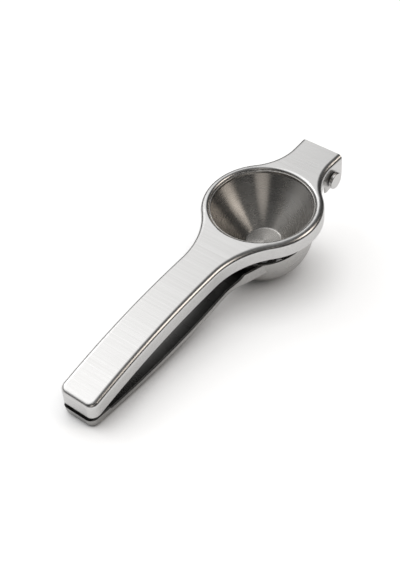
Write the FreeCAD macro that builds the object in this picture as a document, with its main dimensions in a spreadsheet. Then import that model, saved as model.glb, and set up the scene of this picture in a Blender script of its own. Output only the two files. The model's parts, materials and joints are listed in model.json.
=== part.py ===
import FreeCAD, Part
import Sketcher
import math
import os

from FreeCAD import Placement, Rotation, Vector

# Hinged lemon squeezer of formed stainless sheet, in the closed pose in which it lies on a table.
# Row frame: +Z up, hinge at +Y, handle ends at -Y, pin head at +X, origin at the middle of the footprint.
# Each lever is drawn in a frame of its own. The press lever's has its origin on the bowl's axis, in the
# plane of the plate's top. The strainer side's has its origin on the hinge pin's axis.

doc = FreeCAD.newDocument("lemon_squeezer")
sheet = doc.addObject("Spreadsheet::Sheet", "sizes")

SIZES = [
    # Press lever: one piece of sheet with a ring, a handle, a hinge tab and side walls bent down
    ("press_sheet", 1.2),
    ("bowl_opening_radius", 28.8),
    ("lip_bend_radius", 1.7),
    ("ring_land_width", 0.1),
    ("press_bend_radius", 2.8),
    ("skirt_depth", 9.1),
    ("collar_depth", 3.0),
    ("grip_arch_start", 60.0),
    ("grip_end_drop", 10.4),
    ("grip_end_reach", 151.6),
    ("grip_neck_half_width", 11.5),
    ("grip_end_half_width", 11.5),
    ("grip_corner_radius", 4.8),
    ("neck_fillet_radius", 48.0),
    ("tab_fillet_radius", 31.3),
    ("tab_half_width", 12.9),
    ("tab_flare_width", 0.52),
    ("ear_corner_radius", 5.2),
    ("ear_depth", 7.2),
    ("ear_slope_offset", 9.5),
    # Press cup: a spun bowl with a rounded rim, seated in the lip's collar
    ("press_cup_wall", 0.8),
    ("press_cup_depth", 27.8),
    ("press_cup_recess", 1.35),
    ("press_flat_radius", 9.9),
    ("press_flat_edge_radius", 1.2),
    ("cup_clearance", 0.4),
    # Strainer cup: a drawn cup with drain holes, a little wider than the bowl's opening
    ("strainer_rim_overhang", 0.7),
    ("strainer_wall", 0.9),
    ("strainer_depth", 27.5),
    ("strainer_base_radius", 12.5),
    ("drain_edge_width", 0.6),
    ("drain_ring_spacing", 5.0),
    ("drain_bridge_width", 0.9),
    ("inner_drain_count", 6),
    ("outer_drain_count", 12),
    # Strainer handle: a channel that is open upwards
    ("channel_sheet", 1.2),
    ("channel_bend_radius", 2.4),
    ("channel_half_width", 10.0),
    ("channel_end_half_width", 10.3),
    ("channel_corner_radius", 4.0),
    ("channel_wall_height", 4.4),
    ("channel_end_step_height", 0.95),
    ("channel_end_step_length", 13.3),
    ("channel_arch_offset", 12.7),
    ("channel_end_rise", 14.52),
    ("channel_end_overhang", 0.5),
    ("channel_base_drop", 3.6),
    ("neck_rise_radius", 12.0),
    ("neck_flare_radius", 20.0),
    ("neck_flare_angle", 25.0),
    ("neck_flare_offset", 16.7),
    # Hinge
    ("pin_ring_distance", 14.1),
    ("pin_drop", 11.0),
    ("tab_overhang", 9.4),
    ("pin_radius", 2.5),
    ("pin_running_clearance", 0.05),
    ("pin_head_radius", 4.9),
    ("pin_head_thickness", 2.0),
    ("pin_head_standoff", 0.67),
    ("pin_head_edge_radius", 0.35),
    ("cap_floor_thickness", 0.6),
    ("strainer_rim_rise", 5.1),
    ("strainer_offset", 2.3),
    ("bracket_sheet", 1.2),
    ("bracket_bend_radius", 1.8),
    ("bracket_side_clearance", 0.3),
    ("bracket_flange_drop", 1.0),
    ("bracket_ear_front", 4.7),
    ("bracket_ear_drop", 10.0),
    ("bracket_ear_back", 7.3),
    ("bracket_ear_back_radius", 6.0),
    ("bracket_small_radius", 1.5),
    # Closed pose
    ("closed_gap_angle", 7.7),
]

for row, (alias, value) in enumerate(SIZES, start=1):
    sheet.set("A%d" % row, alias.replace("_", " "))
    sheet.set("B%d" % row, str(value))
    sheet.setAlias("B%d" % row, alias)
doc.recompute()


def size(alias):
    return float(getattr(sheet, alias))


def add_size(alias, value):
    """Put a worked-out value into the sheet, so that placements can be bound to it."""
    row = 1
    while sheet.getContents("B%d" % row) != "" and sheet.getAlias("B%d" % row) != alias:
        row += 1
    sheet.set("A%d" % row, alias.replace("_", " "))
    sheet.set("B%d" % row, repr(value))
    sheet.setAlias("B%d" % row, alias)


# Sizes that follow from others

def ring_radius():
    """Outside of the ring: the opening, the lip's bend, a narrow land and the outer bend."""
    return (size("bowl_opening_radius") + size("lip_bend_radius") + size("ring_land_width")
            + size("press_bend_radius"))


def pin_reach():
    return ring_radius() + size("pin_ring_distance")


def tab_end_reach():
    return pin_reach() + size("tab_overhang")


def ear_slope_start():
    return pin_reach() - size("ear_slope_offset")


def ear_bottom():
    return -size("pin_drop") - size("ear_depth")


def strainer_axis_reach():
    return pin_reach() + size("strainer_offset")


def strainer_rim_radius():
    return size("bowl_opening_radius") + size("strainer_rim_overhang")


def drain_hole_radius():
    """Radius that leaves the bridge between neighbouring holes of the inner ring."""
    half_turn = math.sin(math.pi / size("inner_drain_count"))
    inner_edge = size("strainer_base_radius") - size("drain_edge_width") - size("drain_ring_spacing")
    return (inner_edge * half_turn - size("drain_bridge_width") / 2.0) / (1.0 + half_turn)


def drain_ring_radius(ring):
    outer = size("strainer_base_radius") - size("drain_edge_width") - drain_hole_radius()
    return outer if ring == "outer" else outer - size("drain_ring_spacing")


def channel_end_reach():
    """The lower handle ends a little beyond the upper one."""
    return pin_reach() + size("grip_end_reach") + size("channel_end_overhang")


def channel_arch_start():
    return strainer_axis_reach() + strainer_rim_radius() + size("channel_arch_offset")


def arch_radius(length, rise):
    """Radius of an arch that starts level and has risen so far at its end."""
    return (length ** 2 + rise ** 2) / (2.0 * rise)


def grip_arch_radius():
    return arch_radius(size("grip_end_reach") - size("grip_arch_start"), size("grip_end_drop"))


def channel_arch_radius():
    return arch_radius(channel_end_reach() - channel_arch_start(), size("channel_end_rise"))


# Drawing helpers

def flat(x, y):
    return Vector(x, y, 0)


def polar(centre, radius, degrees):
    angle = math.radians(degrees)
    return centre + flat(radius * math.cos(angle), radius * math.sin(angle))


def bow(centre, radius, first, last):
    """The step of a chain that follows an arc, given by its centre and its end angles in degrees."""
    return polar(centre, radius, (first + last) / 2.0), polar(centre, radius, last)


def chain(start, steps):
    """A closed outline: each step is an end point, or the middle and end points of an arc."""
    pieces = []
    here = start
    for step in list(steps) + [start]:
        end = step[1] if isinstance(step, tuple) else step
        if (end - here).Length < 1e-7:
            continue
        if isinstance(step, tuple):
            pieces.append(Part.Arc(here, step[0], end))
        else:
            pieces.append(Part.LineSegment(here, end))
        here = end
    return pieces


def rectangle(x_low, x_high, y_low, y_high):
    corners = [flat(x_high, y_low), flat(x_high, y_high), flat(x_low, y_high)]
    return chain(flat(x_low, y_low), corners)


def mirror_steps(points):
    """Mirror a run of chain steps across the sketch's Y axis, walking it backwards."""
    def across(point):
        return flat(-point.x, point.y)
    ends = [step[1] if isinstance(step, tuple) else step for step in points]
    steps = [across(ends[-1])]
    for index in range(len(points) - 1, 0, -1):
        target = across(ends[index - 1])
        if isinstance(points[index], tuple):
            steps.append((across(points[index][0]), target))
        else:
            steps.append(target)
    return steps


def origin_item(body, role):
    return [item for item in body.Origin.OriginFeatures if item.Role == role][0]


def close_joints(sketch, first, count):
    """Tie the ends of each piece of a closed chain to its neighbours."""
    for index in range(count):
        following = first + (index + 1) % count
        index += first
        for end in (1, 2):
            for begin in (1, 2):
                gap = sketch.getPoint(index, end) - sketch.getPoint(following, begin)
                if gap.Length < 1e-6 and not (count == 2 and end == begin):
                    sketch.addConstraint(Sketcher.Constraint("Coincident", index, end, following, begin))


def add_sketch(body, name, role, *outlines):
    sketch = body.newObject("Sketcher::SketchObject", name)
    sketch.AttachmentSupport = (origin_item(body, role), [""])
    sketch.MapMode = "FlatFace"
    for outline in outlines:
        first = sketch.GeometryCount
        sketch.addGeometry(outline, False)
        if len(outline) > 1:
            close_joints(sketch, first, len(outline))
    return sketch


def add_body(name):
    body = doc.addObject("PartDesign::Body", name)
    body.Label = name
    return body


def pad_through(body, name, sketch, length):
    pad = body.newObject("PartDesign::Pad", name)
    pad.Profile = sketch
    pad.Midplane = True
    pad.Length = length
    return pad


def pocket_through(body, name, sketch):
    """Cut a sketch's shape away on both sides of its plane, and see that it took something."""
    pocket = body.newObject("PartDesign::Pocket", name)
    pocket.Profile = sketch
    pocket.Midplane = True
    pocket.Type = "ThroughAll"
    doc.recompute()
    if not pocket.Shape.Volume < pocket.BaseFeature.Shape.Volume - 1e-3:
        raise RuntimeError("%s cut nothing" % name)
    return pocket


def trim_outside(body, name, role, outline):
    """Keep only what lies inside an outline that is seen square to an origin plane."""
    far = 400.0
    sketch = add_sketch(body, name + "_outline", role, rectangle(-far, far, -far, far), outline)
    return pocket_through(body, name, sketch)


def revolve(body, name, sketch, axis_name):
    turn = body.newObject("PartDesign::Revolution", name)
    turn.Profile = sketch
    turn.ReferenceAxis = (sketch, [axis_name])
    turn.Angle = 360.0
    return turn


def round_edges(body, name, base, alias_or_value, wanted):
    """Fillet the edges of a feature that a test picks out."""
    doc.recompute()
    names = ["Edge%d" % number for number, edge in enumerate(base.Shape.Edges, start=1) if wanted(edge)]
    fillet = body.newObject("PartDesign::Fillet", name)
    fillet.Base = (base, names)
    if isinstance(alias_or_value, str):
        fillet.setExpression("Radius", "sizes." + alias_or_value)
    else:
        fillet.Radius = alias_or_value
    return fillet


def middle(edge):
    return edge.valueAt((edge.FirstParameter + edge.LastParameter) / 2.0)


# Outlines of the press lever. An inset of zero gives its outside, and one sheet gives the hollow inside.

def side_line(x_one, y_one, x_two, y_two, inset):
    """A straight side, moved inwards: its unit direction and its outward normal with its distance."""
    along = flat(x_two - x_one, y_two - y_one)
    along.normalize()
    normal = flat(along.y, -along.x)
    return along, normal, normal.dot(flat(x_one, y_one)) - inset


def fillet_centre(normal, distance, along, ring, fillet, sign):
    """Centre of the plan fillet that touches a side and the ring at the origin."""
    offset = math.sqrt((ring + fillet) ** 2 - (distance + fillet) ** 2)
    return normal * (distance + fillet) + along * (sign * offset)


def on_line(normal, distance, along, y):
    """The point of a straight side at a station along the lever."""
    base = normal * distance
    return base + along * ((y - base.y) / along.y)


def tab_side_line(inset):
    return side_line(size("tab_half_width"), ear_slope_start(),
                     size("tab_half_width") + size("tab_flare_width"), tab_end_reach(), inset)


def tab_shoulder(inset):
    """Radius and centre of the fillet between the ring and the tab's side."""
    along, normal, distance = tab_side_line(inset)
    radius = size("tab_fillet_radius") + inset
    return radius, fillet_centre(normal, distance, along, ring_radius() - inset, radius, 1.0)


def tab_half_width_at(y):
    along, normal, distance = tab_side_line(0.0)
    radius, centre = tab_shoulder(0.0)
    if y < (centre - normal * radius).y:
        return centre.x - math.sqrt(radius ** 2 - (y - centre.y) ** 2)
    return on_line(normal, distance, along, y).x


def press_plan(inset, beyond_tab):
    ring = ring_radius() - inset
    reach = size("grip_end_reach") - inset
    corner = size("grip_corner_radius") - inset
    neck = size("neck_fillet_radius") + inset

    grip_along, grip_normal, grip_distance = side_line(
        size("grip_end_half_width"), -size("grip_end_reach"),
        size("grip_neck_half_width"), -ring_radius(), inset)
    tab_along, tab_normal, tab_distance = tab_side_line(inset)
    shoulder, shoulder_centre = tab_shoulder(inset)

    # The end's corner arc touches the end line and the grip's side
    corner_y = -reach + corner
    corner_centre = on_line(grip_normal, grip_distance - corner, grip_along, corner_y)
    corner_side = corner_centre + grip_normal * corner
    side_angle = math.degrees(math.atan2(grip_normal.y, grip_normal.x))
    neck_centre = fillet_centre(grip_normal, grip_distance, grip_along, ring, neck, -1.0)
    neck_side = neck_centre - grip_normal * neck
    neck_ring = neck_centre * (ring / (ring + neck))
    neck_turn = math.degrees(math.atan2(-neck_centre.y, -neck_centre.x))
    shoulder_ring = shoulder_centre * (ring / (ring + shoulder))
    shoulder_side = shoulder_centre - tab_normal * shoulder
    shoulder_turn = math.degrees(math.atan2(-shoulder_centre.y, -shoulder_centre.x))
    ring_low = math.degrees(math.atan2(neck_ring.y, neck_ring.x))
    ring_high = math.degrees(math.atan2(shoulder_ring.y, shoulder_ring.x))
    tab_corner = on_line(tab_normal, tab_distance, tab_along, tab_end_reach() + beyond_tab)
    tab_side_angle = 180.0 + math.degrees(math.atan2(tab_normal.y, tab_normal.x))
    neck_side_angle = 180.0 + side_angle

    right = [
        flat(corner_centre.x, -reach),
        bow(corner_centre, corner, -90.0, side_angle),
        neck_side,
        bow(neck_centre, neck, neck_side_angle, neck_turn),
        bow(flat(0, 0), ring, ring_low, ring_high),
        bow(shoulder_centre, shoulder, shoulder_turn + 360.0, tab_side_angle),
        tab_corner,
    ]
    assert (right[1][1] - corner_side).Length < 1e-6
    assert (right[5][1] - shoulder_side).Length < 1e-6
    return chain(right[0], right[1:] + mirror_steps(right))


def arch_height(y, start, radius, level, sign):
    """Height of an arched edge beyond its start, which bends down for a sign of -1 and up for +1."""
    if y > -start:
        return level
    return level + sign * (radius - math.sqrt(radius ** 2 - (y + start) ** 2))


def arch_step(y_from, y_to, start, radius, level, sign):
    """A chain step along an arched edge between two stations."""
    between = (y_from + y_to) / 2.0
    return (flat(between, arch_height(between, start, radius, level, sign)),
            flat(y_to, arch_height(y_to, start, radius, level, sign)))


def ear_steps():
    """Lower edge of the hinge ear: from the skirt down the slope, round the corner to the far edge."""
    tab_end = tab_end_reach()
    corner = size("ear_corner_radius")
    start = flat(ear_slope_start(), -size("skirt_depth"))
    centre = flat(tab_end - corner, ear_bottom() + corner)
    towards = centre - start
    slope = math.degrees(math.atan2(towards.y, towards.x) - math.asin(corner / towards.Length))
    return [start, polar(centre, corner, slope - 90.0), bow(centre, corner, slope - 90.0, 0.0)]


def press_side(inset, beyond_tab, floor):
    """Side view of the press lever, or of its hollow when a floor is given."""
    start = size("grip_arch_start")
    radius = grip_arch_radius()
    end = -size("grip_end_reach") + inset
    tab_end = tab_end_reach() + beyond_tab
    top = [flat(-start, -inset), arch_step(-start, end, start, radius - inset, -inset, -1.0)]
    if floor is not None:
        return chain(flat(tab_end, -inset), top + [flat(end, -floor), flat(tab_end, -floor)])
    depth = size("skirt_depth")
    under = arch_height(end, start, radius - depth, -depth, -1.0)
    lower = [flat(end, under), arch_step(end, -start, start, radius - depth, -depth, -1.0)]
    return chain(flat(tab_end, -inset), top + lower + ear_steps())


def bent_block(body, plan, side, bend, is_bend):
    """A solid with a side view and a plan, rounded along its bends."""
    width = 2.0 * (ring_radius() + size("press_bend_radius"))
    pad = pad_through(body, body.Name + "_side", add_sketch(body, body.Name + "_side_view", "YZ_Plane", side),
                      width)
    doc.recompute()
    trimmed = trim_outside(body, body.Name + "_plan", "XY_Plane", plan)
    return round_edges(body, body.Name + "_bends", trimmed, bend, is_bend)


def press_bend_test(inset):
    start = size("grip_arch_start")
    radius = grip_arch_radius() - inset
    tab_end = tab_end_reach()

    def test(edge):
        point = middle(edge)
        if edge.Length < 1e-3:
            return False
        on_top = abs(point.z - arch_height(point.y, start, radius, -inset, -1.0)) < 1e-3
        across = abs(point.x) < 1e-3 and (point.y > tab_end - 1e-3 or abs(point.y + start) < 1e-3)
        return on_top and not across
    return test


def hollow_out(body, tool):
    cut = body.newObject("PartDesign::Boolean", body.Name + "_hollow")
    cut.Type = "Cut"
    cut.setObjects([tool])
    doc.recompute()
    return cut


def make_press_lever():
    body = add_body("press_lever")
    sheet_thickness = size("press_sheet")
    spare = 5.0
    bent_block(body, press_plan(0.0, 0.0), press_side(0.0, 0.0, None), "press_bend_radius",
               press_bend_test(0.0))
    inside = add_body("press_lever_inside")
    bend = size("press_bend_radius") - sheet_thickness
    floor = pin_reach() - ear_bottom()
    bent_block(inside, press_plan(sheet_thickness, spare), press_side(sheet_thickness, spare, floor), bend,
               press_bend_test(sheet_thickness))
    doc.recompute()
    hollow_out(body, inside)

    # Hole for the bowl, and the lip that turns down round it
    opening = size("bowl_opening_radius")
    lip = size("lip_bend_radius")
    lip_radius = opening + lip
    hole = add_sketch(body, "bowl_hole", "XY_Plane", [Part.Circle(flat(0, 0), Vector(0, 0, 1), lip_radius)])
    pocket_through(body, "bowl_opening", hole)
    depth = size("collar_depth")
    centre = flat(lip_radius, -lip)
    collar = chain(flat(lip_radius, 0.0), [
        bow(centre, lip, 90.0, 180.0),
        flat(opening, -depth),
        flat(opening + sheet_thickness, -depth),
        flat(opening + sheet_thickness, -lip),
        bow(centre, lip - sheet_thickness, 180.0, 90.0),
    ])
    revolve(body, "lip", add_sketch(body, "lip_profile", "YZ_Plane", collar), "V_Axis")
    doc.recompute()

    # Running holes for the pin through both ears
    bore = size("pin_radius") + size("pin_running_clearance")
    centre = flat(pin_reach(), -size("pin_drop"))
    holes = add_sketch(body, "pin_hole", "YZ_Plane", [Part.Circle(centre, Vector(0, 0, 1), bore)])
    pocket_through(body, "pin_bores", holes)
    return body


def strainer_rim_near_hinge():
    """Inner point of the strainer's rim on the hinge side, seen in the press lever's frame."""
    y = strainer_rim_radius() - size("strainer_wall") - strainer_axis_reach()
    turned_y, turned_z = tilted(y, size("strainer_rim_rise"), size("closed_gap_angle"))
    return flat(pin_reach() + turned_y, turned_z - size("pin_drop"))


def make_press_cup():
    """Spun bowl: rounded rim, straight seat in the collar, bulged side that clears the strainer, flat end."""
    body = add_body("press_cup")
    wall = size("press_cup_wall")
    outer = size("bowl_opening_radius")
    rim_radius = wall / 2.0
    rim = flat(outer - rim_radius, -size("press_cup_recess") - rim_radius)
    seat = -size("collar_depth")
    bottom = -size("press_cup_depth")
    flat_radius = size("press_flat_radius")

    outer_start = flat(outer, seat)
    outer_knee = flat(flat_radius + wall / 2.0, bottom - wall)
    along = outer_knee - outer_start
    along.normalize()
    outward = flat(-along.y, along.x)
    outer_side = strainer_rim_near_hinge() - outward * size("cup_clearance")
    knee = flat(flat_radius, bottom)
    profile = chain(flat(outer - wall, rim.y), [
        flat(outer - wall, seat),
        (outer_side - outward * wall, knee),
        flat(0.0, bottom),
        flat(0.0, bottom - wall),
        outer_knee,
        (outer_side, outer_start),
        flat(outer, rim.y),
        bow(rim, rim_radius, 0.0, 180.0),
    ])
    bowl = revolve(body, "bowl", add_sketch(body, "bowl_profile", "YZ_Plane", profile), "V_Axis")

    def round_knee(name, base, radius, level):
        def on_knee(edge):
            return abs(middle(edge).z - level) < 1e-3 and edge.BoundBox.XLength > flat_radius
        return round_edges(body, name, base, radius, on_knee)

    inside = round_knee("flat_edge_inside", bowl, size("press_flat_edge_radius"), bottom)
    round_knee("flat_edge_outside", inside, size("press_flat_edge_radius") + wall, bottom - wall)
    return body


# Strainer side

def strainer_profile(wall):
    """Half section of the strainer cup. A wall of None gives the full outer form."""
    base = size("strainer_base_radius")
    across = strainer_rim_radius() - base
    depth = size("strainer_depth")
    centre = flat(base, 0.0)
    outer = quarter(centre, across, depth)
    if wall is None:
        return [outer,
                Part.LineSegment(flat(base, -depth), flat(0, -depth)),
                Part.LineSegment(flat(0, -depth), flat(0, 0)),
                Part.LineSegment(flat(0, 0), flat(base + across, 0))]
    inner = quarter(centre, across - wall, depth - wall)
    return [outer,
            Part.LineSegment(flat(base, -depth), flat(0, -depth)),
            Part.LineSegment(flat(0, -depth), flat(0, wall - depth)),
            Part.LineSegment(flat(0, wall - depth), flat(base, wall - depth)),
            inner,
            Part.LineSegment(flat(base + across - wall, 0), flat(base + across, 0))]


def quarter(centre, across, depth):
    """Lower quarter of an upright ellipse, from its side to its lowest point."""
    ellipse = Part.Ellipse(centre + flat(0, -depth), centre + flat(across, 0), centre)
    end = ellipse.parameter(centre + flat(0, -depth))
    side = ellipse.parameter(centre + flat(across, 0))
    low, high = sorted((end, side))
    if high - low > math.pi:
        low, high = high, low + 2.0 * math.pi
    return Part.ArcOfEllipse(ellipse, low, high)


def make_strainer_cup():
    body = add_body("strainer_cup")
    revolve(body, "cup", add_sketch(body, "cup_profile", "YZ_Plane", strainer_profile(size("strainer_wall"))),
            "V_Axis")
    doc.recompute()
    for ring in ("inner", "outer"):
        centre = flat(drain_ring_radius(ring), 0.0)
        circle = [Part.Circle(centre, Vector(0, 0, 1), drain_hole_radius())]
        hole = pocket_through(body, ring + "_drain_hole",
                              add_sketch(body, ring + "_drain_sketch", "XY_Plane", circle))
        pattern = body.newObject("PartDesign::PolarPattern", ring + "_drain_holes")
        pattern.Originals = [hole]
        pattern.Axis = (origin_item(body, "Z_Axis"), [""])
        pattern.Angle = 360.0
        pattern.setExpression("Occurrences", "sizes.%s_drain_count" % ring)
        body.Tip = pattern
        doc.recompute()
    return body


def cup_tool(name):
    """The strainer cup's outer form as a solid, in the pin's frame, for coping what is welded to it."""
    body = add_body(name)
    revolve(body, name + "_form", add_sketch(body, name + "_profile", "YZ_Plane", strainer_profile(None)),
            "V_Axis")
    body.Placement = Placement(cup_offset(), Rotation())
    doc.recompute()
    return body


def cup_offset():
    return Vector(0, -strainer_axis_reach(), size("strainer_rim_rise"))


def inside_cup_station():
    """Station along the lever that lies within the strainer cup over the channel's whole height."""
    return -strainer_axis_reach() - size("strainer_base_radius")


def channel_plan(inset):
    reach = channel_end_reach() - inset
    corner = size("channel_corner_radius") - inset
    end_half = size("channel_end_half_width") - inset
    half = size("channel_half_width") - inset
    flare = size("neck_flare_radius") + inset
    turn = size("neck_flare_angle")
    flare_start = -(strainer_axis_reach() + strainer_rim_radius() + size("neck_flare_offset"))
    inside_cup = inside_cup_station()
    flare_centre = flat(half + flare, flare_start)
    flare_end = polar(flare_centre, flare, 180.0 - turn)
    run = (inside_cup - flare_end.y)
    right = [
        flat(end_half - corner, -reach),
        bow(flat(end_half - corner, -reach + corner), corner, -90.0, 0.0),
        flat(half, flare_start),
        bow(flare_centre, flare, 180.0, 180.0 - turn),
        flat(flare_end.x + run * math.tan(math.radians(turn)), inside_cup),
    ]
    return chain(right[0], right[1:] + mirror_steps(right))


def channel_side(inset, ceiling):
    """Side view of the handle channel, or of its hollow when a ceiling is given."""
    arch = channel_arch_start()
    radius = channel_arch_radius()
    base = -size("channel_base_drop")
    end = -channel_end_reach() + inset
    inside_cup = inside_cup_station()
    bottom = [flat(-arch, base + inset), arch_step(-arch, end, arch, radius - inset, base + inset, 1.0)]
    start = flat(inside_cup, base + inset)
    if ceiling is not None:
        return chain(start, bottom + [flat(end, ceiling), flat(inside_cup, ceiling)])
    wall = size("channel_wall_height")
    step = size("channel_end_step_height")
    rim = size("strainer_rim_rise")
    step_at = end + size("channel_end_step_length")
    rise = size("neck_rise_radius")
    wall_top = base + wall
    climb = math.degrees(math.acos(1.0 - (rim - wall_top) / rise))
    rise_centre = flat(-arch, wall_top + rise)
    top = [
        flat(end, arch_height(end, arch, radius - wall - step, wall_top + step, 1.0)),
        arch_step(end, step_at, arch, radius - wall - step, wall_top + step, 1.0),
        flat(step_at, arch_height(step_at, arch, radius - wall, wall_top, 1.0)),
        arch_step(step_at, -arch, arch, radius - wall, wall_top, 1.0),
        bow(rise_centre, rise, -90.0, climb - 90.0),
        flat(inside_cup, rim),
    ]
    return chain(start, bottom + top)


def channel_bend_test(inset):
    arch = channel_arch_start()
    radius = channel_arch_radius() - inset
    base = -size("channel_base_drop") + inset
    inside_cup = inside_cup_station()

    def test(edge):
        point = middle(edge)
        at_bottom = abs(point.z - arch_height(point.y, arch, radius, base, 1.0)) < 1e-3
        across = abs(point.x) < 1e-3 and (point.y > inside_cup - 1e-3 or abs(point.y + arch) < 1e-3)
        return at_bottom and not across
    return test


def make_strainer_handle():
    body = add_body("strainer_handle")
    thickness = size("channel_sheet")
    bent_block(body, channel_plan(0.0), channel_side(0.0, None), "channel_bend_radius",
               channel_bend_test(0.0))
    inside = add_body("strainer_handle_inside")
    ceiling = channel_end_reach() / 4.0
    bent_block(inside, channel_plan(thickness), channel_side(thickness, ceiling),
               size("channel_bend_radius") - thickness, channel_bend_test(thickness))
    doc.recompute()
    hollow_out(body, inside)
    cope = body.newObject("PartDesign::Boolean", "handle_cope")
    cope.Type = "Cut"
    cope.setObjects([cup_tool("handle_cope_cup")])
    doc.recompute()
    return body


def bracket_half_width():
    """The bracket fills the space between the press lever's ears, less a clearance on each side."""
    return size("tab_half_width") - size("press_sheet") - size("bracket_side_clearance")


def make_hinge_bracket():
    body = add_body("hinge_bracket")
    rim = size("strainer_rim_rise")
    back = size("bracket_ear_back")
    back_radius = size("bracket_ear_back_radius")
    front = -size("bracket_ear_front")
    drop = -size("bracket_ear_drop")
    flange = -size("bracket_flange_drop")
    small = size("bracket_small_radius")
    inside_cup = strainer_rim_radius() / 2.0 - strainer_axis_reach()
    side = chain(flat(inside_cup, rim), [
        flat(back - small, rim),
        bow(flat(back - small, rim - small), small, 90.0, 0.0),
        flat(back, drop + back_radius),
        bow(flat(back - back_radius, drop + back_radius), back_radius, 0.0, -90.0),
        flat(front + small, drop),
        bow(flat(front + small, drop + small), small, -90.0, -180.0),
        flat(front, flange - small),
        bow(flat(front - small, flange - small), small, 0.0, 90.0),
        flat(inside_cup, flange),
    ])
    half = bracket_half_width()
    pad = pad_through(body, "bracket_block", add_sketch(body, "bracket_side_view", "YZ_Plane", side),
                      2.0 * half)

    def along_top(edge):
        point = middle(edge)
        return abs(point.z - rim) < 1e-3 and abs(abs(point.x) - half) < 1e-3
    round_edges(body, "bracket_bends", pad, "bracket_bend_radius", along_top)
    doc.recompute()

    thickness = size("bracket_sheet")
    inner = half - thickness
    bend = size("bracket_bend_radius") - thickness
    shelf = rim - thickness
    below = 2.0 * drop
    section = chain(flat(-inner, below), [
        flat(inner, below),
        flat(inner, shelf - bend),
        bow(flat(inner - bend, shelf - bend), bend, 0.0, 90.0),
        flat(bend - inner, shelf),
        bow(flat(bend - inner, shelf - bend), bend, 90.0, 180.0),
    ])
    pocket_through(body, "bracket_hollow", add_sketch(body, "bracket_section", "XZ_Plane", section))
    holes = add_sketch(body, "bracket_hole", "YZ_Plane",
                       [Part.Circle(flat(0, 0), Vector(0, 0, 1), size("pin_radius"))])
    pocket_through(body, "bracket_bores", holes)
    cope = body.newObject("PartDesign::Boolean", "bracket_cope")
    cope.Type = "Cut"
    cope.setObjects([cup_tool("bracket_cope_cup")])
    doc.recompute()
    return body


def head_seat():
    """Distance from the middle to the underside of each head of the pin."""
    head = size("pin_head_radius")
    widest = max(tab_half_width_at(pin_reach() - head), tab_half_width_at(pin_reach() + head))
    return widest + size("pin_head_standoff")


def make_hinge_pin():
    """Headed pin: the head at +X, the shank through all four ears and into the cap at -X."""
    body = add_body("hinge_pin")
    seat = head_seat()
    outer = seat + size("pin_head_thickness")
    tail = -(outer - size("cap_floor_thickness"))
    shank = size("pin_radius")
    head = size("pin_head_radius")
    edge = size("pin_head_edge_radius")
    profile = chain(flat(tail, 0), [
        flat(tail, shank),
        flat(seat, shank),
        flat(seat, head - edge),
        bow(flat(seat + edge, head - edge), edge, 180.0, 90.0),
        flat(outer - edge, head),
        bow(flat(outer - edge, head - edge), edge, 90.0, 0.0),
        flat(outer, 0),
    ])
    revolve(body, "pin", add_sketch(body, "pin_profile", "XZ_Plane", profile), "H_Axis")
    return body


def make_pin_cap():
    """Cap pressed on the pin's tail, the same size as its head."""
    body = add_body("pin_cap")
    seat = -head_seat()
    outer = seat - size("pin_head_thickness")
    floor = outer + size("cap_floor_thickness")
    bore = size("pin_radius")
    head = size("pin_head_radius")
    edge = size("pin_head_edge_radius")
    profile = chain(flat(outer, 0), [
        flat(outer, head - edge),
        bow(flat(outer + edge, head - edge), edge, 180.0, 90.0),
        flat(seat - edge, head),
        bow(flat(seat - edge, head - edge), edge, 90.0, 0.0),
        flat(seat, bore),
        flat(floor, bore),
        flat(floor, 0),
    ])
    revolve(body, "cap", add_sketch(body, "cap_profile", "XZ_Plane", profile), "H_Axis")
    return body


# The closed pose on the table

def resting_tilt():
    """Tilt at which the strainer cup's base and the end of its handle both touch the table."""
    base = size("strainer_base_radius")
    across = strainer_rim_radius() - base
    depth = size("strainer_depth")
    bend = size("channel_bend_radius")
    cup_y = -strainer_axis_reach() - base
    cup_z = size("strainer_rim_rise")
    end_y = -channel_end_reach() + bend
    end_z = arch_height(end_y, channel_arch_start(), channel_arch_radius(),
                        -size("channel_base_drop"), 1.0) + bend

    def cup_over_handle(angle):
        up_y = math.sin(angle)
        up_z = math.cos(angle)
        cup = cup_y * up_y + cup_z * up_z - math.hypot(across * up_y, depth * up_z)
        handle = end_y * up_y + end_z * up_z - bend
        return cup - handle

    low = 0.0
    high = math.radians(45.0)
    for _ in range(60):
        trial = (low + high) / 2.0
        if cup_over_handle(trial) < 0.0:
            low = trial
        else:
            high = trial
    return math.degrees(low)


def tilted(y, z, degrees):
    angle = math.radians(degrees)
    return (y * math.cos(angle) - z * math.sin(angle), y * math.sin(angle) + z * math.cos(angle))


def place(body, tilt_alias, y_alias, z_alias):
    """Bind a body's place to the sheet: turned about X and moved to a point of the row frame."""
    body.Placement = Placement(Vector(0, 0, 0), Rotation(Vector(1, 0, 0), size(tilt_alias)))
    body.setExpression("Placement.Rotation.Angle", "sizes.%s * 1 deg" % tilt_alias)
    body.setExpression("Placement.Base.y", "sizes.%s * 1 mm" % y_alias)
    body.setExpression("Placement.Base.z", "sizes.%s * 1 mm" % z_alias)


def put_in_row_frame(pin_y, pin_z):
    """Work out where the frame of each piece lies once the pin's place is known."""
    strainer_tilt = resting_tilt()
    press_tilt = strainer_tilt - size("closed_gap_angle")
    bowl_y, bowl_z = tilted(-pin_reach(), size("pin_drop"), press_tilt)
    cup_y, cup_z = tilted(-strainer_axis_reach(), size("strainer_rim_rise"), strainer_tilt)
    add_size("strainer_tilt", strainer_tilt)
    add_size("press_tilt", press_tilt)
    add_size("pin_place_y", pin_y)
    add_size("pin_place_z", pin_z)
    add_size("bowl_place_y", pin_y + bowl_y)
    add_size("bowl_place_z", pin_z + bowl_z)
    add_size("cup_place_y", pin_y + cup_y)
    add_size("cup_place_z", pin_z + cup_z)
    doc.recompute()


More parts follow.
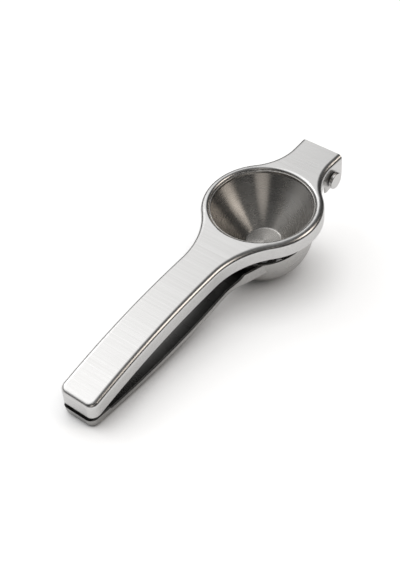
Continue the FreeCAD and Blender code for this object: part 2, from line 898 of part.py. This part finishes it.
press_lever = make_press_lever()
press_cup = make_press_cup()
strainer_cup = make_strainer_cup()
strainer_handle = make_strainer_handle()
hinge_bracket = make_hinge_bracket()
hinge_pin = make_hinge_pin()
pin_cap = make_pin_cap()
doc.recompute()

NODES = [press_lever, press_cup, strainer_cup, strainer_handle, hinge_bracket, hinge_pin, pin_cap]

put_in_row_frame(0.0, 0.0)
for body in (press_lever, press_cup):
    place(body, "press_tilt", "bowl_place_y", "bowl_place_z")
for body in (strainer_handle, hinge_bracket, hinge_pin, pin_cap):
    place(body, "strainer_tilt", "pin_place_y", "pin_place_z")
place(strainer_cup, "strainer_tilt", "cup_place_y", "cup_place_z")
doc.recompute()

# Move the whole to stand on Z = 0 with its footprint's middle at the origin
boxes = [body.Shape.optimalBoundingBox(True, False) for body in NODES]
middle_y = (min(box.YMin for box in boxes) + max(box.YMax for box in boxes)) / 2.0
lowest = min(box.ZMin for box in boxes)
put_in_row_frame(-middle_y, -lowest)

for item in doc.Objects:
    if "Invalid" in item.State or "Error" in item.State:
        raise RuntimeError("%s failed: %s" % (item.Name, item.State))

os.makedirs("parts", exist_ok=True)
for body in NODES:
    shape = body.Shape
    if shape.isNull() or not shape.isValid() or len(shape.Solids) != 1:
        raise RuntimeError("%s is not one valid solid" % body.Label)
    shape.exportStep(os.path.join("parts", body.Label + ".step"))
    print("%-16s %9.1f mm3" % (body.Label, shape.Volume))

print("strainer tilt %.3f, press tilt %.3f" % (size("strainer_tilt"), size("press_tilt")))
print("pin at y %.3f z %.3f" % (size("pin_place_y"), size("pin_place_z")))
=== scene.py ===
import json
import math

import bpy
from mathutils import Matrix, Vector

# Looks of the hinged lemon squeezer: satin and brushed stainless steel on a plain pale floor.
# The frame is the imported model: metres, +Z up, hinge at +Y, handle ends at -Y, pin head at +X.

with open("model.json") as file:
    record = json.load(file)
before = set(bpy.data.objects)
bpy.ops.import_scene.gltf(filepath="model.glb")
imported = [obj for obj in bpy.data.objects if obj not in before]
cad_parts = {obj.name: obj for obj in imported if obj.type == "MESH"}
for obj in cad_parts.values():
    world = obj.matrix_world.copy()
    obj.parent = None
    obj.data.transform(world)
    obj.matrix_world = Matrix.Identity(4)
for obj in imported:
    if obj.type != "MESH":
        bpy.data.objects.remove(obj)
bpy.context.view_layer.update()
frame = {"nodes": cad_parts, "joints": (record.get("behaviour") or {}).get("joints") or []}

# Where the two sides lie: each is turned about the pin, with its bowl set off from it
PIN = Vector(frame["joints"][0]["pos_m"])
PRESS_TILT = math.radians(6.009)
STRAINER_TILT = math.radians(13.709)
BOWL_FROM_PIN = Vector((0.0, -0.0475, 0.011))
CUP_FROM_PIN = Vector((0.0, -0.0498, 0.0051))


def side_frame(tilt, offset):
    """Place of a bowl's own frame: its origin on the bowl's axis, +Y towards the hinge."""
    return Matrix.Translation(PIN) @ Matrix.Rotation(tilt, 4, "X") @ Matrix.Translation(offset)


PRESS_FRAME = side_frame(PRESS_TILT, BOWL_FROM_PIN)
STRAINER_FRAME = side_frame(STRAINER_TILT, CUP_FROM_PIN)

# Painted shade on faces that others close in: how far it looks, and the openness between which it acts
PAINTED_SHADE_REACH = 0.016
PAINTED_SHADE_OPENNESS = (0.15, 0.75)
OPENNESS_SAMPLES = 8

# Painted shade on the inside of a bent channel: each pair is where it is absent and where it is full
FLOOR_HALF_WIDTH = (0.0090, 0.0086)
FLOOR_FACING = (0.2, 0.4)
WALL_FACING = (0.3, 0.5)
CHANNEL_START = (0.012, 0.006)
CHANNEL_END = (-0.085, -0.090)
CHANNEL_PAINTED_SHADE_LEVEL = 0.22

# Brushed sheet: lines are long along the hinge and thin across it
FINE_LINE_SCALE = (22.0, 2200.0, 2200.0)
BROAD_LINE_SCALE = (9.0, 620.0, 620.0)
FINE_SHARE = 0.65
SHEET_CLOUD_SCALE = 38.0
SHEET_CLOUD_SWING = 0.02
SHEET_LEVELS = (0.91, 1.06)
LIGHT_LINE_WARMTH = 0.6
SHEET_ROUGHNESS_SWING = (-0.02, 0.03)
SHEET_PAINTED_SHADE_LEAST = 0.10
LINE_HEIGHT = 0.00002
LINE_STRENGTH = 0.22

# Spun bowls: rings are thin in radius and height, and long round the axis
RING_SCALE = 1500.0
RING_TURN_SCALE = 0.9
SPUN_CLOUD_SCALE = 60.0
SPUN_CLOUD_SWING = 0.015
SPUN_LEVELS = (0.96, 1.03)
LIGHT_RING_WARMTH = 0.7
SPUN_ROUGHNESS_SWING = (-0.01, 0.015)
RING_STRENGTH = 0.05
QUARTER_TURN = 0.25

# Turned pin and cap
LATHE_SCALE = 3000.0
LATHE_LEVELS = (0.93, 1.05)
LATHE_ROUGHNESS_SWING = (-0.03, 0.05)
LATHE_HEIGHT = 0.00001
LATHE_STRENGTH = 0.3


# Shader helpers

class Nodes:
    """A small wrapper that makes shader nodes and links them."""

    def __init__(self, owner):
        owner.use_nodes = True
        self.owner = owner
        self.tree = owner.node_tree
        self.tree.nodes.clear()

    def make(self, kind, **settings):
        node = self.tree.nodes.new(kind)
        for key, value in settings.items():
            setattr(node, key, value)
        return node

    def put(self, value, socket):
        if isinstance(value, bpy.types.NodeSocket):
            self.tree.links.new(value, socket)
        else:
            socket.default_value = value

    def math(self, operation, first, second=0.0):
        node = self.make("ShaderNodeMath", operation=operation)
        self.put(first, node.inputs[0])
        self.put(second, node.inputs[1])
        return node.outputs[0]

    def vector_math(self, operation, first, second):
        node = self.make("ShaderNodeVectorMath", operation=operation)
        self.put(first, node.inputs[0])
        self.put(second, node.inputs[1])
        return node.outputs["Value" if operation == "DOT_PRODUCT" else "Vector"]

    def fit(self, value, low, high, to_low, to_high):
        node = self.make("ShaderNodeMapRange", clamp=True)
        for socket, item in zip(node.inputs, (value, low, high, to_low, to_high)):
            self.put(item, socket)
        return node.outputs[0]

    def step(self, value, limits):
        """Nought at the first limit, one at the second."""
        return self.fit(value, limits[0], limits[1], 0.0, 1.0)

    def spread(self, noise, low, high):
        """A noise, which mostly lies between 0.3 and 0.7, taken to a range of its own."""
        return self.fit(noise, 0.3, 0.7, low, high)

    def soft_step(self, value, low, high):
        node = self.make("ShaderNodeMapRange", interpolation_type="SMOOTHSTEP")
        self.put(value, node.inputs["Value"])
        node.inputs["From Min"].default_value = low
        node.inputs["From Max"].default_value = high
        return node.outputs["Result"]

    def mix(self, amount, first, second):
        node = self.make("ShaderNodeMix", data_type="RGBA")
        self.put(amount, node.inputs["Factor"])
        self.put(first, node.inputs[6])
        self.put(second, node.inputs[7])
        return node.outputs[2]

    def noise(self, vector, scale, detail=2.0, roughness=0.5):
        node = self.make("ShaderNodeTexNoise")
        self.put(vector, node.inputs["Vector"])
        node.inputs["Scale"].default_value = scale
        node.inputs["Detail"].default_value = detail
        node.inputs["Roughness"].default_value = roughness
        return node.outputs["Fac"]

    def bump(self, height, distance, strength):
        node = self.make("ShaderNodeBump")
        node.inputs["Strength"].default_value = strength
        node.inputs["Distance"].default_value = distance
        self.put(height, node.inputs["Height"])
        return node.outputs["Normal"]

    def openness(self, reach):
        """One where nothing is near, falling towards nought where a face is closed in by others."""
        node = self.make("ShaderNodeAmbientOcclusion", samples=OPENNESS_SAMPLES)
        node.inputs["Distance"].default_value = reach
        return node.outputs["AO"]

    def painted_recess_shade(self, least):
        """Painted shade: one on open faces, falling to a least value where a face is closed in by others."""
        low, high = PAINTED_SHADE_OPENNESS
        return self.fit(self.openness(PAINTED_SHADE_REACH), low, high, least, 1.0)

    def scaled(self, colour, amount):
        node = self.make("ShaderNodeVectorMath", operation="SCALE")
        self.put(colour, node.inputs[0])
        self.put(amount, node.inputs["Scale"])
        return node.outputs[0]

    def split(self, vector):
        node = self.make("ShaderNodeSeparateXYZ")
        self.put(vector, node.inputs[0])
        return node.outputs

    def turned(self, vector, angle):
        """The vector turned about +X, the direction of the hinge."""
        node = self.make("ShaderNodeVectorRotate", rotation_type="X_AXIS")
        self.put(vector, node.inputs["Vector"])
        node.inputs["Angle"].default_value = angle
        return node.outputs[0]

    def to_world(self, vector):
        node = self.make("ShaderNodeVectorTransform", vector_type="VECTOR")
        node.convert_from = "OBJECT"
        node.convert_to = "WORLD"
        self.put(vector, node.inputs["Vector"])
        return node.outputs["Vector"]

    def stretched(self, vector, scale, tilt):
        """Coordinates drawn out along the axes of a side that is tilted about the hinge."""
        node = self.make("ShaderNodeMapping")
        self.put(vector, node.inputs["Vector"])
        node.inputs["Rotation"].default_value = (-tilt, 0.0, 0.0)
        node.inputs["Scale"].default_value = scale
        return node.outputs["Vector"]

    def length_of(self, first, second):
        squares = self.math("ADD", self.math("MULTIPLY", first, first), self.math("MULTIPLY", second, second))
        return self.math("SQRT", squares)

    def metal(self, colour, roughness, normal):
        surface = self.make("ShaderNodeBsdfPrincipled")
        surface.inputs["Metallic"].default_value = 1.0
        self.put(colour, surface.inputs["Base Color"])
        self.put(roughness, surface.inputs["Roughness"])
        self.put(normal, surface.inputs["Normal"])
        self.finish(surface.outputs["BSDF"])
        return surface

    def finish(self, shader):
        out = self.make("ShaderNodeOutputMaterial")
        self.put(shader, out.inputs["Surface"])


def grey(level, warmth=0.0):
    """A grey with a little more red and less blue as its warmth rises."""
    return (level * (1.0 + warmth), level, level * (1.0 - 1.4 * warmth), 1.0)


# Materials

def painted_channel_shade(n, tilt, place, normal, inside):
    """Mask of painted shade: one on the inside of a bent channel. The inside looks up for +1 and down for -1.
    """
    facing = n.split(n.turned(normal, -tilt))
    point = n.split(place)
    x = point["X"]
    floor_side = n.step(n.math("MULTIPLY", facing["Z"], inside), FLOOR_FACING)
    floor = n.math("MULTIPLY", floor_side, n.step(n.math("ABSOLUTE", x), FLOOR_HALF_WIDTH))
    inward = n.math("MULTIPLY", facing["X"], n.math("MULTIPLY", n.math("SIGN", x), -1.0))
    wall = n.math("MULTIPLY", n.step(inward, WALL_FACING), n.step(point["Y"], CHANNEL_START))
    end = n.math("MULTIPLY", n.step(facing["Y"], WALL_FACING), n.step(point["Y"], CHANNEL_END))
    return n.math("MAXIMUM", n.math("MAXIMUM", floor, wall), end)


def brushed_sheet(name, tilt, level, warmth, roughness, anisotropy, inside=None):
    """Sheet brushed across the lever, with fine lines parallel to the hinge, and painted shade in recesses
    and, darker, inside a channel.
    """
    n = Nodes(bpy.data.materials.new(name))
    coordinates = n.make("ShaderNodeTexCoord")
    place = coordinates.outputs["Object"]
    fine = n.noise(n.stretched(place, FINE_LINE_SCALE, tilt), 1.0, 3.0, 0.6)
    broad = n.noise(n.stretched(place, BROAD_LINE_SCALE, tilt), 1.0)
    cloud = n.noise(place, SHEET_CLOUD_SCALE)
    lines = n.math("ADD", n.math("MULTIPLY", fine, FINE_SHARE), n.math("MULTIPLY", broad, 1.0 - FINE_SHARE))
    darkest, lightest = SHEET_LEVELS
    dark = grey(level * darkest, warmth)
    light = grey(level * lightest, warmth * LIGHT_LINE_WARMTH)
    colour = n.mix(n.spread(lines, 0.0, 1.0), dark, light)
    # Painted shade: the colour is darkened where other faces close it in
    painted_shade = n.painted_recess_shade(SHEET_PAINTED_SHADE_LEAST)
    # Painted shade on the inside of a channel, on top of the painted shade in recesses
    if inside is not None:
        painted_channel_mask = painted_channel_shade(n, tilt, place, coordinates.outputs["Normal"], inside)
        painted_shade = n.math("MULTIPLY", painted_shade, n.fit(painted_channel_mask, 0.0, 1.0, 1.0, CHANNEL_PAINTED_SHADE_LEVEL))
    smoother, rougher = SHEET_ROUGHNESS_SWING
    rough = n.math("ADD", n.spread(lines, roughness + smoother, roughness + rougher),
                   n.spread(cloud, -SHEET_CLOUD_SWING, SHEET_CLOUD_SWING))
    surface = n.metal(n.scaled(colour, painted_shade), rough, n.bump(lines, LINE_HEIGHT, LINE_STRENGTH))
    surface.inputs["Anisotropic"].default_value = anisotropy
    along = n.to_world((0.0, math.cos(tilt), math.sin(tilt)))
    n.put(along, surface.inputs["Tangent"])
    return n.owner


def spun_metal(name, place_matrix, level, warmth, roughness, anisotropy, painted_shade_least):
    """Spun or drawn bowl: fine rings round its own axis, and painted shade where other faces close it in."""
    n = Nodes(bpy.data.materials.new(name))
    place = n.make("ShaderNodeTexCoord").outputs["Object"]
    tilt = place_matrix.to_euler().x
    local = n.turned(n.vector_math("SUBTRACT", place, place_matrix.to_translation()), -tilt)
    x, y, z = n.split(local)
    rings = n.make("ShaderNodeCombineXYZ")
    n.put(n.math("MULTIPLY", n.length_of(x, y), RING_SCALE), rings.inputs[0])
    n.put(n.math("MULTIPLY", z, RING_SCALE), rings.inputs[1])
    n.put(n.math("MULTIPLY", n.math("ARCTAN2", y, x), RING_TURN_SCALE), rings.inputs[2])
    fine = n.noise(rings.outputs[0], 1.0)
    cloud = n.noise(place, SPUN_CLOUD_SCALE)
    darkest, lightest = SPUN_LEVELS
    dark = grey(level * darkest, warmth)
    light = grey(level * lightest, warmth * LIGHT_RING_WARMTH)
    colour = n.mix(n.spread(fine, 0.0, 1.0), dark, light)
    smoother, rougher = SPUN_ROUGHNESS_SWING
    rough = n.math("ADD", n.spread(fine, roughness + smoother, roughness + rougher),
                   n.spread(cloud, -SPUN_CLOUD_SWING, SPUN_CLOUD_SWING))
    # Painted shade: the bowl's colour is darkened where other faces close it in
    shaded = n.scaled(colour, n.painted_recess_shade(painted_shade_least))
    surface = n.metal(shaded, rough, n.bump(fine, LINE_HEIGHT, RING_STRENGTH))
    surface.inputs["Anisotropic"].default_value = anisotropy
    surface.inputs["Anisotropic Rotation"].default_value = QUARTER_TURN
    around = n.make("ShaderNodeCombineXYZ")
    n.put(n.math("MULTIPLY", y, -1.0), around.inputs[0])
    n.put(x, around.inputs[1])
    n.put(n.to_world(n.turned(around.outputs[0], tilt)), surface.inputs["Tangent"])
    return n.owner


def turned_metal(name, level, warmth, roughness):
    """Turned pin: faint rings about the hinge axis."""
    n = Nodes(bpy.data.materials.new(name))
    place = n.make("ShaderNodeTexCoord").outputs["Object"]
    x, y, z = n.split(n.vector_math("SUBTRACT", place, PIN))
    rings = n.make("ShaderNodeCombineXYZ")
    n.put(n.math("MULTIPLY", n.length_of(y, z), LATHE_SCALE), rings.inputs[0])
    n.put(n.math("MULTIPLY", x, LATHE_SCALE), rings.inputs[1])
    fine = n.noise(rings.outputs[0], 1.0)
    darkest, lightest = LATHE_LEVELS
    colour = n.mix(fine, grey(level * darkest, warmth), grey(level * lightest, warmth))
    smoother, rougher = LATHE_ROUGHNESS_SWING
    rough = n.spread(fine, roughness + smoother, roughness + rougher)
    n.metal(colour, rough, n.bump(fine, LATHE_HEIGHT, LATHE_STRENGTH))
    return n.owner


MATERIALS = {
    "press_lever": brushed_sheet(
        "lever_brushed", PRESS_TILT, level=0.72, warmth=0.010, roughness=0.24, anisotropy=0.55, inside=-1.0),
    "press_cup": spun_metal(
        "press_cup_spun", PRESS_FRAME, level=0.50, warmth=0.035, roughness=0.27, anisotropy=0.86,
        painted_shade_least=0.22),
    "strainer_cup": spun_metal(
        "strainer_spun", STRAINER_FRAME, level=0.56, warmth=0.02, roughness=0.27, anisotropy=0.4,
        painted_shade_least=0.2),
    "strainer_handle": brushed_sheet(
        "channel_brushed", STRAINER_TILT, level=0.56, warmth=0.02, roughness=0.28, anisotropy=0.3,
        inside=1.0),
    "hinge_bracket": brushed_sheet(
        "bracket_brushed", STRAINER_TILT, level=0.62, warmth=0.015, roughness=0.28, anisotropy=0.3),
    "hinge_pin": turned_metal("pin_turned", level=0.68, warmth=0.01, roughness=0.24),
    "pin_cap": turned_metal("cap_turned", level=0.68, warmth=0.01, roughness=0.24),
}

for node_name, material in MATERIALS.items():
    node = frame["nodes"][node_name]
    node.data.materials.clear()
    node.data.materials.append(material)


# Floor, light and camera

FLOOR_HALF_SIDE = 4.0
FLOOR_GREYS = (0.86, 0.88)
FLOOR_NOISE_SCALE = 6.0
FAR_FLOOR_GREY = 0.16
FLOOR_FADE = (0.15, 0.45)
WHITENING = 0.62
MIRRORED_WHITENING = 0.40
SHADOW_REACH = 0.03
SHADOW_OPENNESS = (0.2, 0.95)


def floor_material():
    """Pale floor. A glow whitens it for the camera and, less, for reflections of the floor near the object.
    The glow is left out where the object closes the floor in, which paints a shadow there over the lit one,
    and far off the floor is painted dark grey for all but the camera, a painted falloff of light."""
    n = Nodes(bpy.data.materials.new("pale_floor"))
    place = n.make("ShaderNodeTexCoord").outputs["Object"]
    distance = n.make("ShaderNodeVectorMath", operation="LENGTH")
    n.put(place, distance.inputs[0])
    seen = n.make("ShaderNodeLightPath").outputs
    # Painted falloff of light: far off, the floor is dark grey for every ray but the camera's
    far = n.step(distance.outputs["Value"], FLOOR_FADE)
    reflected = n.math("MULTIPLY", far, n.math("SUBTRACT", 1.0, seen["Is Camera Ray"]))
    darker, paler = FLOOR_GREYS
    pale = n.mix(n.noise(place, FLOOR_NOISE_SCALE), grey(darker), grey(paler))
    plain = n.make("ShaderNodeBsdfDiffuse")
    n.put(n.mix(reflected, pale, grey(FAR_FLOOR_GREY)), plain.inputs["Color"])
    # Painted pool of light: near the object the floor also glows for reflections in the metal
    near_mirrored = n.math("MULTIPLY", seen["Is Glossy Ray"], n.math("SUBTRACT", 1.0, far))
    mirrored = n.math("MULTIPLY", near_mirrored, MIRRORED_WHITENING)
    direct = n.math("MULTIPLY", seen["Is Camera Ray"], WHITENING)
    # Painted shadow: the glow fades where the object closes the floor in
    outside_painted_shadow = n.step(n.openness(SHADOW_REACH), SHADOW_OPENNESS)
    glow = n.make("ShaderNodeEmission")
    n.put(n.math("MULTIPLY", n.math("ADD", mirrored, direct), outside_painted_shadow), glow.inputs["Strength"])
    both = n.make("ShaderNodeAddShader")
    n.put(plain.outputs[0], both.inputs[0])
    n.put(glow.outputs[0], both.inputs[1])
    n.finish(both.outputs[0])
    return n.owner


def make_floor():
    half = FLOOR_HALF_SIDE
    corners = [(-half, -half, 0), (half, -half, 0), (half, half, 0), (-half, half, 0)]
    mesh = bpy.data.meshes.new("floor")
    mesh.from_pydata(corners, [], [(0, 1, 2, 3)])
    floor = bpy.data.objects.new("floor", mesh)
    mesh.materials.append(floor_material())
    bpy.context.scene.collection.objects.link(floor)


# Soft lights of the studio, by direction from the bowl in its own frame: direction, angles from it at which
# the light begins to fade and ends, and colour
SKY_LIGHTS = [
    ((-0.75, 0.00, 0.66), 20.0, 54.0, (1.12, 1.12, 1.12)),
    ((-0.74, -0.01, 0.67), 3.0, 12.0, (2.90, 2.90, 2.90)),
    ((-0.40, 0.70, 0.59), 3.0, 16.0, (0.40, 0.40, 0.40)),
    ((-0.15, -0.25, 0.96), 10.0, 34.0, (0.25, 0.25, 0.25)),
    ((0.74, 0.43, 0.52), 8.0, 19.0, (2.20, 2.00, 1.80)),
    ((0.55, -0.77, 0.32), 8.0, 20.0, (1.10, 1.02, 0.94)),
]
SKY_BASE = [(0.0, 0.03), (0.55, 0.05), (0.80, 0.12), (1.0, 0.14)]
HORIZON_FADE = (0.10, 0.38)


def make_sky_base(n, height):
    """The dark studio without its lights, a little paler overhead."""
    ramp = n.make("ShaderNodeValToRGB")
    n.put(height, ramp.inputs[0])
    ends = ramp.color_ramp.elements
    ends[0].position, ends[0].color = SKY_BASE[0][0], grey(SKY_BASE[0][1])
    ends[1].position, ends[1].color = SKY_BASE[-1][0], grey(SKY_BASE[-1][1])
    for position, level in SKY_BASE[1:-1]:
        ends.new(position).color = grey(level)
    return ramp.outputs["Color"]


def make_world():
    """A dark studio with soft lights on it, all given by direction, before a backdrop white to the camera."""
    world = bpy.data.worlds.new("studio")
    n = Nodes(world)
    direction = n.make("ShaderNodeTexCoord").outputs["Generated"]
    height = n.split(direction)["Z"]
    total = make_sky_base(n, height)
    above = n.soft_step(height, *HORIZON_FADE)
    turn = PRESS_FRAME.to_3x3()
    for aim, full, end, colour in SKY_LIGHTS:
        facing = n.vector_math("DOT_PRODUCT", direction, (turn @ Vector(aim)).normalized())
        soft = n.soft_step(facing, math.cos(math.radians(end)), math.cos(math.radians(full)))
        light = n.scaled(colour, n.math("MULTIPLY", soft, above))
        total = n.vector_math("ADD", total, light)
    seen = n.make("ShaderNodeLightPath").outputs
    background = n.make("ShaderNodeBackground")
    n.put(n.mix(seen["Is Camera Ray"], total, grey(1.0)), background.inputs["Color"])
    out = n.make("ShaderNodeOutputWorld")
    n.put(background.outputs[0], out.inputs["Surface"])
    bpy.context.scene.world = world


# The camera of the photograph, found in the bowl's frame from the outlines of the upper lever
CAMERA_PLACE = Vector((0.282967, -0.364779, 0.430109))
CAMERA_RIGHT = Vector((0.783466, 0.618314, -0.062199))
CAMERA_UP = Vector((-0.410949, 0.590578, 0.694506))
CAMERA_BACK = Vector((0.466157, -0.518562, 0.716793))
CAMERA_LENS = 73.96
CAMERA_SENSOR = 36.0
CAMERA_SHIFT = (-0.0092, -0.0351)
CAMERA_CLIP = 0.01


def make_camera():
    camera = bpy.data.cameras.new("camera")
    camera.sensor_width = CAMERA_SENSOR
    camera.lens = CAMERA_LENS
    camera.shift_x, camera.shift_y = CAMERA_SHIFT
    camera.clip_start = CAMERA_CLIP
    turn = Matrix((CAMERA_RIGHT, CAMERA_UP, CAMERA_BACK)).transposed().to_4x4()
    item = bpy.data.objects.new("camera", camera)
    item.matrix_world = PRESS_FRAME @ Matrix.Translation(CAMERA_PLACE) @ turn
    bpy.context.scene.collection.objects.link(item)
    bpy.context.scene.camera = item


make_floor()
make_world()
make_camera()
bpy.context.scene.view_settings.view_transform = "Standard"
